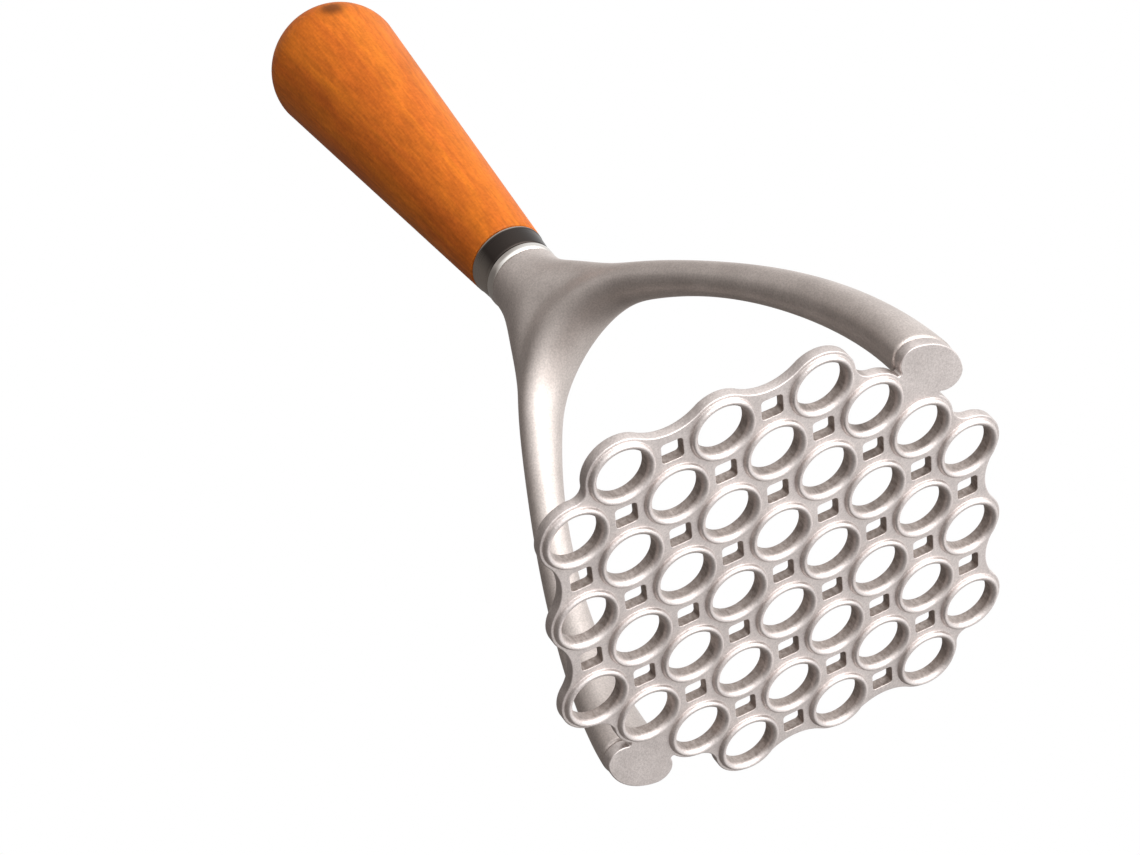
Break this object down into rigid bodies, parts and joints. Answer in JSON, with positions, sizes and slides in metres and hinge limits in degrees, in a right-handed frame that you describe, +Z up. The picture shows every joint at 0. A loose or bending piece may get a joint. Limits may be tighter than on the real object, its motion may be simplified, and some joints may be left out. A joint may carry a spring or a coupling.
{
  "type": "potato masher",
  "caption": "Potato masher with a flat plate of ringed round holes, a two-armed cast yoke and a turned wooden handle.",
  "frame": {"origin": "centre of the bounding box's base, in the plane of the ring beads that the masher stands on, under the handle's axis", "axes": "+Z up along the handle from the plate to the butt, X across the yoke from one arm's foot to the other, Y along the plate"},
  "size_m": [0.1162, 0.1282, 0.2344],
  "materials": {
    "plate_aluminium": "sandblasted casting",
    "yoke_aluminium": "bead-blasted casting",
    "polished_ring": "polished",
    "ferrule_steel": "dark gunmetal",
    "handle_wood": "satin varnish",
    "insert_brass": "machined",
    "pin_steel": "machined"
  },
  "bodies": {
    "root": {"mashing_plate": "plate_aluminium", "yoke": "yoke_aluminium", "spacer_ring": "polished_ring", "ferrule": "ferrule_steel", "handle": "handle_wood", "threaded_insert": "insert_brass", "stud": "pin_steel", "dowel_right": "pin_steel", "dowel_left": "pin_steel"}
  },
  "joints": []
}
